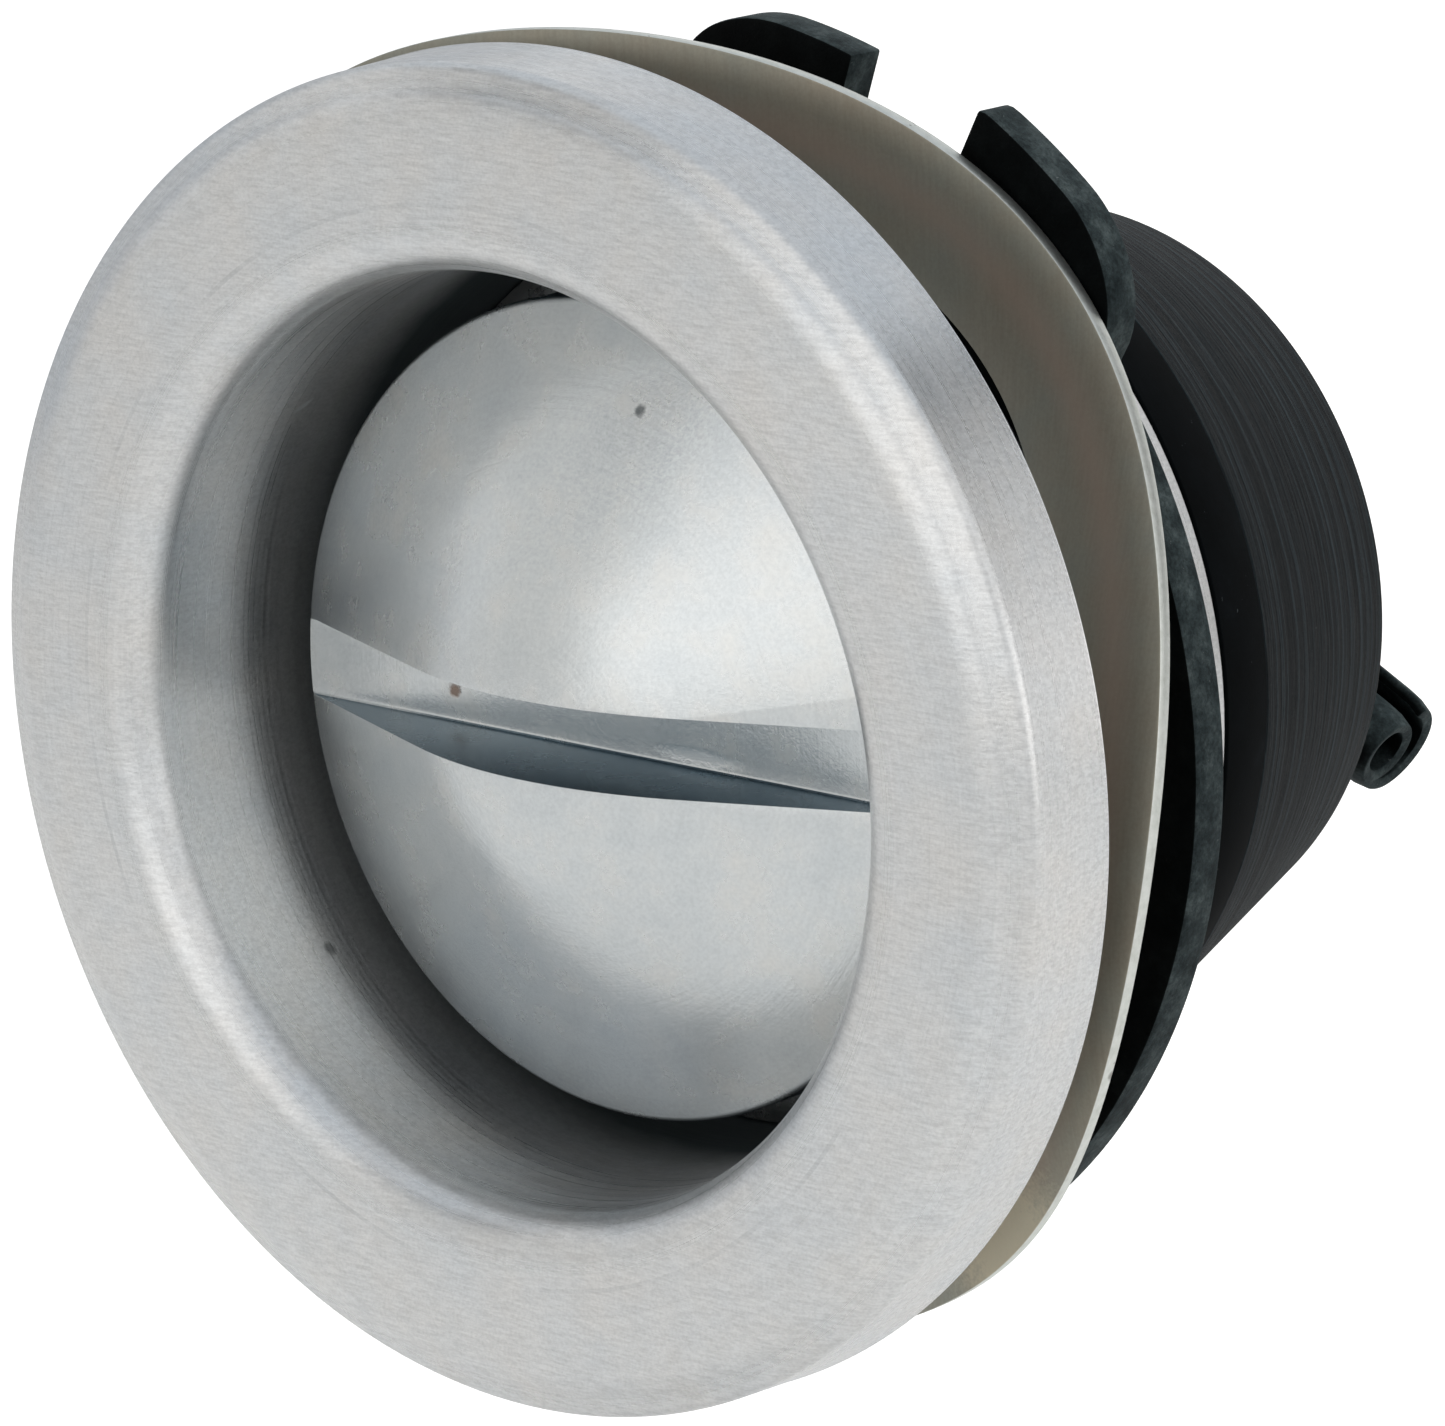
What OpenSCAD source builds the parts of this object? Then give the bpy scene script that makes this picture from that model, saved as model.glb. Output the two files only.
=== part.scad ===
// Flush quarter-turn fastener for a deck hatch lid.
// The axis of turn is Y: the slotted front looks towards -Y and the cross pin is at the rear.
// The origin is on that axis, in the plane where the flange's rear face seats on the lid.
// Sizes are in millimetres. A depth named ..._y is measured along Y from that seat.
// Angles are measured from +X towards +Z, as seen from the front.

/* [Bezel] */
// Outside radius of the flange
flange_r = 21; // [20.5:0.1:24]
// Thickness of the flange
flange_t = 3.76; // [3.2:0.02:6]
// Radius of the rounding on the flange's outer front edge
flange_round = 1.7; // [0.5:0.1:2.5]
// Radius of the rounded lip where the front face turns into the pocket
lip_round = 1.5; // [0.5:0.1:2.5]
// How far the flange stands out of the sleeve that goes through the lid
flange_step = 4.9; // [4.4:0.05:5.4]
// Thickness of the sleeve's wall, round the open pocket
sleeve_wall = 1.6; // [1.4:0.05:1.8]
// Length of the sleeve behind the seat
sleeve_l = 12.25; // [11.75:0.05:13]
// Depth of the retaining ring's groove in the sleeve
groove_depth = 0.8; // [0.4:0.05:1]

/* [Wave washer] */
// How far the washer's rim lies inside the flange's
wave_inset = 0.1; // [0.1:0.1:2]
// Radial clearance of the washer's bore round the sleeve
wave_clear = 0.6; // [0.5:0.05:1.4]
// Thickness of the washer's strip
wave_t = 0.5; // [0.3:0.05:0.7]
// Slack between the washer's crests and what they touch, over both sides
wave_slack = 1.46; // [1.4:0.02:3]
// Number of waves round the washer
wave_count = 3; // [2:1:4]
// Angle of the first rear crest
wave_angle = 48; // [0:1:119]
// How far the loose washer leans, in degrees about the vertical
wave_lean = 2.8; // [0:0.1:2.8]
// How far the loose washer sits above the axis
wave_lift = 0.35; // [0:0.05:0.4]

/* [Retaining ring] */
// Distance of the ring's front face from the sleeve's rear end
ring_back = 5.99; // [5.6:0.01:6.05]
// Thickness of the ring
ring_t = 1.4; // [1:0.05:1.8]
// How far the ring's hoop stands out of the sleeve
ring_stand = 3.33; // [2:0.01:3.8]
// Direction of the gap between the two lugs
gap_angle = 65.7; // [0:0.1:180]
// Width of the gap between the lugs, in degrees
gap_width = 11.5; // [8:0.5:20]
// Width of each lug's full-height part, in degrees
lug_width = 13; // [8:0.5:18]
// Width of each lug's sloping flank, in degrees
lug_flank = 8.5; // [4:0.5:12]
// How far the lug on the +X side of the gap stands out of the hoop
lug_rise_near = 2.97; // [1:0.01:3.5]
// How far the other lug stands out of the hoop
lug_rise_far = 2.07; // [1:0.01:3.5]
// Radius of the pliers hole in each lug
lug_hole_r = 0.9; // [0.5:0.1:1.1]

/* [Collar and drum] */
// Length of the collar, from the sleeve's end to the drum's shoulder
collar_l = 3.37; // [1.8:0.01:5]
// How far the drum's neck under the collar lies inside the pocket's radius
neck_step = 1.1; // [0.8:0.05:1.4]
// Length of the drum behind the collar
drum_l = 10.33; // [9:0.01:12]
// How much smaller the drum's rear radius is than the sleeve's
drum_fall = 3.81; // [3:0.01:4.5]
// Chamfer on the drum's rear edge
drum_chamfer = 0.4; // [0.2:0.05:0.8]
// Length of the drum's spigot inside the sleeve
spigot_l = 3; // [2.6:0.05:3.1]
// Depth of the hub's face behind the sleeve's end, where the front bush's flange seats
hub_sink = 2.15; // [1.9:0.05:2.8]
// Height of the hub above the floor that the return spring stands on
hub_stand = 1.6; // [0.6:0.1:3.6]
// Radial gap between the hub and the return spring
hub_clear = 0.5; // [0.3:0.05:0.7]
// Thickness of the drum's neck, round the spring's recess
neck_wall = 1.6; // [1.3:0.05:1.8]
// Thickness of the hub's wall round the bushes
hub_wall = 2.9; // [2.7:0.05:3.2]

/* [Plug] */
// Radial gap between the plug's rim and the pocket
pocket_gap = 1.55; // [1.2:0.05:1.9]
// Depth of the plug's rim, where the dome starts
plug_rim_y = 2.47; // [2.4:0.01:2.7]
// Length of the plug's straight side behind the rim
plug_side = 2.53; // [2:0.01:2.6]
// Slope of the dome's cone near the rim, in degrees
dome_slope = 22.6; // [15:0.1:26]
// Radius of the rounding at the dome's top
dome_tip_r = 14; // [8:0.5:18]
// Width of the coin slot
slot_w = 2.5; // [1.5:0.05:3.5]
// Height of the slot's floor in front of the rim
slot_floor = 0.03; // [0.01:0.01:1]
// Radial gap between the plug's boss and the return spring
boss_clear = 1.4; // [1.3:0.05:1.7]
// Gap left between the boss of the pushed-in plug and the front bush
boss_gap = 0.4; // [0.3:0.05:0.9]
// How far the plug can be pushed in
push_travel = 2.5; // [1:0.1:2.5]
// How far the plug turns, in degrees
turn_travel = 90; // [45:1:95]

/* [Spindle and bushes] */
// Thickness of the bushes' wall, with its clearances
bush_wall = 1.5; // [1.4:0.05:1.7]
// Depth of the spindle's front end behind the plug's rim
spindle_sink = 1.93; // [1.7:0.01:3]
// Length of spindle left behind the cross pin's middle
spindle_tail = 5; // [4:0.1:7]
// How much smaller the radius of the spindle's nose is, which the keeper's hole guides
nose_step = 0.6; // [0.2:0.1:1]
// Length of full-radius spindle left behind the cross pin
nose_shoulder = 0.36; // [0.2:0.02:1]
// Chamfer on the spindle's rear end
spindle_chamfer = 0.6; // [0.2:0.1:1.2]
// Section radius of the spindle's O-rings
spindle_seal_r = 0.95; // [0.8:0.05:1]
// Distance between the spindle's two O-rings
seal_pitch = 2.3; // [2.2:0.05:2.4]
// Length of each bush inside the drum
bush_l = 2.1; // [1.5:0.05:2.15]
// Thickness of the front bush's flange
bush_flange_t = 1.2; // [0.8:0.1:1.2]
// How far the front bush's flange stands out of its sleeve
bush_lip = 0.5; // [0.3:0.05:0.6]
// Radius of the dowel through the plug's boss
plug_pin_r = 1; // [0.6:0.05:1.1]

/* [Cross pin] */
// Outside radius of the coiled pin
pin_r = 1.72; // [1.5:0.01:1.9]
// Thickness of the pin's rolled strip
strip_t = 0.42; // [0.3:0.01:0.45]
// How far each pin end stops short of the drum's rear edge
pin_inset = 0.89; // [0.3:0.01:2.8]
// Angle of the pin's visible end
pin_angle = -28.2; // [-90:0.1:90]
// Thickness of the thrust washer under the pin
rear_washer_t = 1.25; // [0.8:0.05:1.6]
// How far the thrust washer reaches out round the spindle
rear_washer_lip = 3.6; // [2:0.1:5]

/* [Spring and small parts] */
// Radius of the return spring's wire
wire_r = 0.65; // [0.4:0.05:0.65]
// Radial gap between the return spring and its recess
coil_clear = 0.6; // [0.4:0.05:0.8]
// Number of turns in the return spring
coil_turns = 4.5; // [3:0.5:4.5]
// Thickness of the spring seat
seat_t = 0.8; // [0.5:0.05:0.8]
// Radial gap between the spring seat and the recess
seat_clear = 0.4; // [0.3:0.05:0.6]
// Thickness of the lock ring
lock_t = 1; // [0.6:0.05:1]
// Width of the lock ring's band
lock_w = 1.95; // [1.7:0.05:2.2]
// Width of the lock ring's spanner notches
lock_notch_w = 2; // [1:0.1:3]
// Depth of the lock ring's spanner notches
lock_notch_depth = 1; // [0.5:0.1:1.2]
// Section radius of the spigot's O-ring
spigot_seal_r = 0.7; // [0.5:0.05:0.75]
// Radius of the stop pin
stop_r = 0.9; // [0.6:0.05:0.95]
// Distance of the stop pin's middle from the hub's edge
stop_inset = 1.3; // [1.2:0.05:1.35]
// Angle of the stop pin
stop_angle = -135; // [-140:1:-125]
// Length of the stop pin inside the drum's hub
stop_grip = 3; // [2:0.1:5]

/* [Fits] */
// Radial clearance of the spindle in its bushes and of the seat on the boss
running_clear = 0.05; // [0.02:0.01:0.1]
// Radial clearance of the drum's spigot and the lock ring in the sleeve
spigot_clear = 0.05; // [0.01:0.01:0.1]
// Clearance of pieces that are pressed or snapped together
press_clear = 0.01; // [0.005:0.005:0.02]
// Gap kept between pieces that move past each other
moving_gap = 0.3; // [0.2:0.05:0.3]

/* [Hidden] */
$fn = 96;
// overshoot of a cutting shape past the face that it cuts
eps = 0.1;

// radii that follow from the flange's, inwards to the spindle's
sleeve_r = flange_r - flange_step;
bore_r = sleeve_r - sleeve_wall;
collar_bore_r = bore_r - neck_step;
recess_r = collar_bore_r - neck_wall;
coil_r = recess_r - coil_clear - wire_r;
hub_r = coil_r - wire_r - hub_clear;
boss_r = coil_r - wire_r - boss_clear;
drum_bore_r = hub_r - hub_wall;
spindle_r = drum_bore_r - bush_wall;
plug_r = bore_r - pocket_gap;

// depths that follow from the sleeve's length, back to the drum's rear face
collar_end_y = sleeve_l + collar_l;
drum_end_y = collar_end_y + drum_l;
hub_y = sleeve_l + hub_sink;
spring_floor_y = hub_y + hub_stand;

// the collar and the drum share one cone, from the sleeve's end to the drum's rear face
cone_front_r = sleeve_r + spigot_clear;
drum_end_r = sleeve_r - drum_fall;
cone_fall = (cone_front_r - drum_end_r) / (drum_end_y - sleeve_l);
function cone_r(y) = cone_front_r - cone_fall * (y - sleeve_l);

// retaining ring, its groove and the washer that it holds
groove_r = sleeve_r - groove_depth;
ring_r = sleeve_r + ring_stand;
ring_y = sleeve_l - ring_back;
wave_r = flange_r - wave_inset;
wave_bore_r = sleeve_r + wave_clear;

// spigot and its lock ring
spigot_r = bore_r - spigot_clear;
spigot_y = sleeve_l - spigot_l;
spigot_seal_y = sleeve_l - spigot_l / 2;
spigot_groove_w = 2 * spigot_seal_r + 0.2;
lock_bore_r = spigot_r - lock_w;

// the plug's head, its dome and the pieces that follow from its rear face
head_y = plug_rim_y + plug_side;
boss_end_y = hub_y - bush_flange_t - boss_gap - push_travel;
// the dome is a cone whose point, at point_y, is rounded off from tip_edge_r inwards
point_y = plug_rim_y - plug_r * tan(dome_slope);
tip_edge_r = dome_tip_r * sin(dome_slope);
tip_edge_y = point_y + tip_edge_r * tan(dome_slope);
seat_end_y = head_y + seat_t;
plug_pin_y = (seat_end_y + boss_end_y) / 2;
// the dowel stops this far inside the boss at each end
plug_pin_sink = 0.3;

// the stop pin stays clear of the pushed-in spring seat, and its notch clears the pin
stop_pitch_r = hub_r - stop_inset;
stop_front_y = seat_end_y + push_travel + moving_gap;
notch_r = stop_pitch_r - stop_r - moving_gap;
notch_slack = asin((stop_r + moving_gap) / stop_pitch_r);

// spindle, seals and cross pin
spindle_front_y = plug_rim_y + spindle_sink;
// the seals lie just behind the front bush, with room to slide before the rear one
seal_mid_y = hub_y + bush_l + moving_gap + spindle_seal_r + seal_pitch / 2;
seal_ring_r = drum_bore_r - running_clear - spindle_seal_r;
seal_groove_w = 2 * spindle_seal_r + 0.1;
pin_y = drum_end_y + rear_washer_t + pin_r;
spindle_end_y = pin_y + spindle_tail;
nose_y = pin_y + pin_r + nose_shoulder;
nose_r = spindle_r - nose_step;
// gap between the two turns of the coiled pin's strip
coil_gap = 0.04;
pin_hole_r = pin_r - 2 * strip_t - coil_gap;

// wave washer: half the height of each wave, and a rear crest that lies against the retaining ring
wave_steps = 120;
wave_seat_clear = 0.05;
wave_h = (ring_y - wave_t - wave_slack) / 2;
wave_mid_y = ring_y - wave_seat_clear - wave_t - wave_h - wave_r * tan(wave_lean) * cos(wave_angle);

// return spring
wire_sides = 8;
coil_steps = 24 * coil_turns;
// share of the pitch that the end turns give up, so that they lie flatter
coil_ease = 0.4;

// point at radius r and angle a in the plane of X and Z
function polar(r, a) = [r * cos(a), r * sin(a)];

// turns a half profile about Y: the profile's x is the radius and its y is the depth
module turned() {
    rotate([-90, 0, 0]) rotate_extrude() children();
}

// extrudes a front view (x to the right, y up) from depth y0 over a length of l
module plate(y0, l) {
    translate([0, y0 + l, 0]) rotate([90, 0, 0]) linear_extrude(l) children();
}

// rectangle of a half profile, between two radii and two depths
module band(r0, r1, y0, y1) {
    translate([r0, y0]) square([r1 - r0, y1 - y0]);
}

// tube or disc about Y
module tube(r0, r1, y0, l) {
    turned() band(r0, r1, y0, y0 + l);
}

// rod about a radial line of angle a at depth y, from distance d0 to d1
module radial_rod(r, a, y, d0, d1) {
    translate([0, y, 0]) rotate([0, 90 - a, 0]) translate([0, 0, d0]) cylinder(r = r, h = d1 - d0);
}

// sector of a front view between two angles that are less than 180 degrees apart
module sector(a0, a1) {
    reach = 2 * flange_r;
    polygon([[0, 0], polar(reach, a0), polar(reach, (a0 + a1) / 2), polar(reach, a1)]);
}

// what a rounding takes off a square corner at x, y: dx and dy point out of the corner
module corner_waste(x, y, dx, dy, r) {
    difference() {
        translate([x - (dx > 0 ? r : eps), y - (dy > 0 ? r : eps)]) square(r + eps);
        translate([x - dx * r, y - dy * r]) circle(r);
    }
}

// turned from bar: flange with rounded edges, deep pocket and a sleeve with the ring's groove
module bezel() {
    color("silver") turned() difference() {
        union() {
            band(bore_r, flange_r, -flange_t, 0);
            band(bore_r, sleeve_r, -eps, sleeve_l);
        }
        corner_waste(flange_r, -flange_t, 1, -1, flange_round);
        corner_waste(bore_r, -flange_t, -1, -1, lip_round);
        band(groove_r, sleeve_r + eps, ring_y - press_clear, ring_y + ring_t + press_clear);
    }
}

// front surface of the leaning wave washer at radius r and angle a
function wave_y(r, a) = wave_h * cos(wave_count * (a - wave_angle)) + r * tan(wave_lean) * cos(a);

// three-wave spring washer, blanked from strip and pressed to a wave
module wave_washer() {
    corners = [[wave_bore_r, 0], [wave_r, 0], [wave_r, wave_t], [wave_bore_r, wave_t]];
    points = [
        for (i = [0 : wave_steps - 1], c = corners)
            let (a = i * 360 / wave_steps, p = polar(c[0], a)) [p[0], wave_y(c[0], a) + c[1], p[1]]
    ];
    faces = [
        for (i = [0 : wave_steps - 1], k = [0 : 3])
            let (j = (i + 1) % wave_steps, m = (k + 1) % 4)
                each [[4 * i + k, 4 * j + k, 4 * j + m], [4 * i + k, 4 * j + m, 4 * i + m]]
    ];
    color("tan") translate([0, wave_mid_y, wave_lift]) polyhedron(points, faces);
}

// one end lug of the retaining ring: side is 1 for the lug at smaller angles and -1 for the other
module ring_lug(side, lug_r) {
    edge = gap_angle - side * gap_width / 2;
    shoulder = edge - side * lug_width;
    foot = shoulder - side * lug_flank;
    intersection() {
        circle(lug_r);
        polygon([
            [0, 0], polar(ring_r, foot), polar(lug_r, shoulder),
            polar(2 * lug_r, (shoulder + edge) / 2), polar(2 * lug_r, edge)
        ]);
    }
}

// open spring-steel ring with two end lugs, stamped from plate
module retaining_ring() {
    hole_r = (groove_r + ring_r) / 2 + lug_hole_r;
    color("darkslategray") plate(ring_y, ring_t) difference() {
        union() {
            circle(ring_r);
            ring_lug(1, ring_r + lug_rise_near);
            ring_lug(-1, ring_r + lug_rise_far);
        }
        circle(groove_r + press_clear);
        sector(gap_angle - gap_width / 2, gap_angle + gap_width / 2);
        for (side = [-1, 1])
            translate(polar(hole_r, gap_angle + side * (gap_width + lug_width) / 2)) circle(lug_hole_r);
    }
}

// moulded rubber collar, squeezed between the sleeve's end and the drum's shoulder
module collar() {
    color([0.13, 0.15, 0.16]) turned() polygon([
        [collar_bore_r, sleeve_l], [cone_front_r, sleeve_l],
        [cone_r(collar_end_y), collar_end_y], [collar_bore_r, collar_end_y]
    ]);
}

// turned body: a spigot that enters the sleeve, a neck for the collar, a cone and a hub
module drum() {
    color([0.15, 0.17, 0.18]) difference() {
        turned() difference() {
            union() {
                band(0, spigot_r, spigot_y, sleeve_l);
                band(0, collar_bore_r, spigot_y, collar_end_y);
                polygon([
                    [0, collar_end_y], [cone_r(collar_end_y), collar_end_y],
                    [cone_r(drum_end_y - drum_chamfer), drum_end_y - drum_chamfer],
                    [drum_end_r - drum_chamfer, drum_end_y], [0, drum_end_y]
                ]);
            }
            band(0, recess_r, spigot_y - eps, hub_y);
            band(hub_r, recess_r, hub_y - eps, spring_floor_y);
            band(0, drum_bore_r, spigot_y - eps, drum_end_y + eps);
            band(
                bore_r - 2 * (spigot_seal_r + press_clear), bore_r + eps,
                spigot_seal_y - spigot_groove_w / 2, spigot_seal_y + spigot_groove_w / 2
            );
        }
        stop_rod(stop_r + press_clear);
    }
}

// thin steel ring with spanner notches that locks the drum's thread in the sleeve
module lock_ring() {
    color("gainsboro") plate(spigot_y - lock_t, lock_t) difference() {
        circle(spigot_r);
        circle(lock_bore_r);
        for (a = [0 : 90 : 270])
            rotate(a + 45) translate([0, -lock_notch_w / 2])
                square([lock_bore_r + lock_notch_depth, lock_notch_w]);
    }
}

// O-ring between the drum's spigot and the sleeve's bore
module spigot_seal() {
    color([0.08, 0.08, 0.08]) turned()
        translate([bore_r - spigot_seal_r - press_clear, spigot_seal_y]) circle(spigot_seal_r, $fn = 48);
}

// flanged bronze bush that carries the spindle behind the plug
module front_bush() {
    flange_y = hub_y - bush_flange_t;
    color("peru") turned() {
        band(spindle_r + running_clear, drum_bore_r - press_clear, flange_y, hub_y + bush_l);
        band(spindle_r + running_clear, drum_bore_r + bush_lip, flange_y, hub_y);
    }
}

// plain bronze bush at the drum's rear
module rear_bush() {
    color("peru") tube(spindle_r + running_clear, drum_bore_r - press_clear, drum_end_y - bush_l, bush_l);
}

// the stop pin's own outline, which the drum's hub is drilled to as well
module stop_rod(r) {
    at = polar(stop_pitch_r, stop_angle);
    plate(stop_front_y, hub_y + stop_grip - stop_front_y) translate(at) circle(r);
}

// dowel in the drum's hub that stops the plug after a quarter turn
module stop_pin() {
    color("silver") stop_rod(stop_r);
}

// nylon thrust washer between the drum's rear face and the cross pin
module rear_washer() {
    color("dimgray")
        tube(spindle_r + running_clear, spindle_r + rear_washer_lip, drum_end_y, rear_washer_t);
}

// middle of the return spring's wire at t, which runs from 0 at the seat to 1 at the floor
function coil_y(t) = seat_end_y + wire_r
    + (spring_floor_y - seat_end_y - 2 * wire_r) * (t - coil_ease * sin(360 * t) / (2 * PI));

// compression spring that lifts the plug back to its rest height
module return_spring() {
    points = [
        for (i = [0 : coil_steps], k = [0 : wire_sides - 1])
            let (
                t = i / coil_steps,
                b = k * 360 / wire_sides,
                p = polar(coil_r + wire_r * cos(b), 360 * coil_turns * t)
            ) [p[0], coil_y(t) + wire_r * sin(b), p[1]]
    ];
    start = [for (k = [0 : wire_sides - 1]) wire_sides - 1 - k];
    end = [for (k = [0 : wire_sides - 1]) wire_sides * coil_steps + k];
    sides = [
        for (i = [0 : coil_steps - 1], k = [0 : wire_sides - 1])
            let (a = wire_sides * i, m = (k + 1) % wire_sides)
                [a + k, a + m, a + wire_sides + m, a + wire_sides + k]
    ];
    color("lightslategray") polyhedron(points, concat([start], sides, [end]));
}

// washer that passes the spring's push to the turning plug
module spring_seat() {
    color("gainsboro") tube(boss_r + running_clear, recess_r - seat_clear, head_y, seat_t);
}

// domed plug with the coin slot, and the boss that the spindle is pressed into
module plug() {
    color("lightgray") difference() {
        turned() difference() {
            polygon([
                [0, boss_end_y], [boss_r, boss_end_y], [boss_r, head_y], [plug_r, head_y],
                [plug_r, plug_rim_y], [0, point_y]
            ]);
            difference() {
                band(0, tip_edge_r, point_y - eps, tip_edge_y);
                translate([0, tip_edge_y + dome_tip_r * cos(dome_slope)]) circle(dome_tip_r);
            }
        }
        translate([-flange_r, plug_rim_y - slot_floor - flange_r, -slot_w / 2])
            cube([2 * flange_r, flange_r, slot_w]);
        plate(spindle_front_y, flange_r) circle(spindle_r + press_clear);
        plate(seat_end_y, flange_r) intersection() {
            difference() {
                circle(boss_r + eps);
                circle(notch_r);
            }
            sector(stop_angle - notch_slack, stop_angle + turn_travel + notch_slack);
        }
        dowel_hole();
    }
}

// drilled through the plug's boss and the spindle together
module dowel_hole() {
    radial_rod(plug_pin_r + press_clear, 0, plug_pin_y, -flange_r, flange_r);
}

// dowel that keys the plug to the spindle
module plug_pin() {
    reach = boss_r - plug_pin_sink;
    color("silver") radial_rod(plug_pin_r, 0, plug_pin_y, -reach, reach);
}

// steel spindle with two O-ring grooves, the cross pin's hole and a guiding nose
module spindle() {
    color("darkgray") difference() {
        turned() difference() {
            polygon([
                [0, spindle_front_y], [spindle_r, spindle_front_y], [spindle_r, nose_y], [nose_r, nose_y],
                [nose_r, spindle_end_y - spindle_chamfer], [nose_r - spindle_chamfer, spindle_end_y],
                [0, spindle_end_y]
            ]);
            for (side = [-1, 1])
                translate([seal_ring_r, seal_mid_y + side * seal_pitch / 2]) translate(
                    [-spindle_seal_r - press_clear, -seal_groove_w / 2]
                ) square([spindle_r, seal_groove_w]);
        }
        dowel_hole();
        radial_rod(pin_r + press_clear, pin_angle, pin_y, -flange_r, flange_r);
    }
}

// two O-rings that seal the spindle in the drum
module spindle_seals() {
    color([0.08, 0.08, 0.08])
        for (side = [-1, 1])
            turned() translate([seal_ring_r, seal_mid_y + side * seal_pitch / 2])
                circle(spindle_seal_r, $fn = 48);
}

// coiled spring pin: a strip rolled twice round, so that its end shows two turns and a gap
module cross_pin() {
    seam = 3 * coil_gap;
    reach = drum_end_r - pin_inset;
    color([0.2, 0.22, 0.23]) difference() {
        radial_rod(pin_r, pin_angle, pin_y, -reach, reach);
        radial_rod(pin_hole_r, pin_angle, pin_y, -flange_r, flange_r);
        translate([0, pin_y, 0]) rotate([0, 90 - pin_angle, 0]) translate([0, 0, -flange_r])
            linear_extrude(2 * flange_r) {
                difference() {
                    circle(pin_r - strip_t);
                    circle(pin_hole_r + strip_t);
                    rotate(-20) square([pin_r, pin_r / 2]);
                }
                rotate(-24) translate([pin_r - strip_t - coil_gap, -seam])
                    square([strip_t + 2 * coil_gap, seam]);
            }
    }
}

bezel();
wave_washer();
retaining_ring();
collar();
drum();
lock_ring();
spigot_seal();
front_bush();
rear_bush();
stop_pin();
rear_washer();
return_spring();
spring_seat();
plug();
spindle();
plug_pin();
spindle_seals();
cross_pin();
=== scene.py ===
# Flush quarter-turn fastener of a deck hatch lid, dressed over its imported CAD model.
# The frame is the model's own, in metres: the axis of turn is Y, the slotted front looks towards
# -Y, and the origin is where the flange's rear face seats. The sizes below are in millimetres, and
# are turned to metres where they are used.
from math import atan2, cos, hypot, pi, radians, sin, tan

import bmesh
import bpy
from mathutils import Matrix, Vector
from mathutils.bvhtree import BVHTree


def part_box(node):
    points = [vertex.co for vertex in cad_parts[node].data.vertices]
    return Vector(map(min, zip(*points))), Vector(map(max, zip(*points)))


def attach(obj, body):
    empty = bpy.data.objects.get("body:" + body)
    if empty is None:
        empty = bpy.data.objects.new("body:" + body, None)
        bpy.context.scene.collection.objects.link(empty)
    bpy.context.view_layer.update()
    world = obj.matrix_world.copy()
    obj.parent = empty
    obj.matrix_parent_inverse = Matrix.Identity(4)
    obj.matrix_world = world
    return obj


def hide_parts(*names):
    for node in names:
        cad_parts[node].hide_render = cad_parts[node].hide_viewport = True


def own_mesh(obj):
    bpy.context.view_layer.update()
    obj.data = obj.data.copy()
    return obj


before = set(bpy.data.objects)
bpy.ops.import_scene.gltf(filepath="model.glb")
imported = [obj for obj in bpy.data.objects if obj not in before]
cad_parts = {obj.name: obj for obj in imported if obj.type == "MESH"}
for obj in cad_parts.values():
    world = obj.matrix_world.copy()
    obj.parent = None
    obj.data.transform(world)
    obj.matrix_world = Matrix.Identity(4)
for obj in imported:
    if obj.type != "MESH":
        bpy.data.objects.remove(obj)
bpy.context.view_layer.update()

mm = 0.001

# ----------------------------------------------------------------------
# Camera: where the photographer stood, settled by the points below.
# It looks along the fastener from its front right, a little above the axis of turn,
# with a long lens from 21 cm away.
photo_width, photo_height = 1445, 1426
photo_long = max(photo_width, photo_height)
camera_place = Vector((138.489, -153.133, 52.957)) * mm
camera_aim = Vector((12.0, -6.341, 3.624)) * mm
camera_roll = radians(-1.18)
camera_lens, camera_sensor = 174.39, 36.0

photographed = {
    "flange_left": (14, None),
    "pin_right": (1433, None),
    "lug_top": (None, 12),
    "flange_bottom": (None, 1413),
    "near_lug_tip": (1005, 109),
    "slot_left_lower": (310, 692),
    "slot_right_upper": (940, 736),
    "slot_right_lower": (941, 817),
    "washer_front_edge": (1165, 656),
    "ring_front_edge": (1196, 787),
    "collar_joint": (1262, 730),
    "drum_rear_edge": (1384, 630),
    "pin_hole": (1380, 756),
    "rust_speck": (455, 690),
    "dome_nick": (640, 410),
    "slot_burr": (700, 757),
    "edge_nick": (1115, 1072),
    "tan_patch": (1008, 1240),
    "bore_scratch": (303, 406),
    "bore_nick": (331, 948),
}

camera_data = bpy.data.cameras.new("photo_camera")
camera_data.sensor_fit = "AUTO"
camera_data.sensor_width = camera_sensor
camera_data.lens = camera_lens
camera_data.clip_start, camera_data.clip_end = 0.005, 10.0
camera = bpy.data.objects.new("photo_camera", camera_data)
bpy.context.scene.collection.objects.link(camera)
looking = (camera_aim - camera_place).to_track_quat("-Z", "Y").to_matrix()
looking = looking @ Matrix.Rotation(camera_roll, 3, "Z")
camera.matrix_world = Matrix.Translation(camera_place) @ looking.to_4x4()
bpy.context.scene.camera = camera
bpy.context.view_layer.update()


def seen_through(name, carrier):
    """The place on the carrier where the ray through a photographed point meets it or, where the
    ray just misses it, the vertex nearest to the ray."""
    x, y = photographed[name]
    ahead = -photo_long * camera_lens / camera_sensor
    ray = looking @ Vector((x - photo_width / 2, photo_height / 2 - y, ahead)).normalized()
    vertices = [v.co.copy() for v in carrier.data.vertices]
    skin = BVHTree.FromPolygons(vertices, [p.vertices for p in carrier.data.polygons])
    place = skin.ray_cast(camera_place, ray)[0]
    if place is None:
        place = min(vertices, key=lambda v: (v - camera_place).cross(ray).length)
    return place


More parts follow.
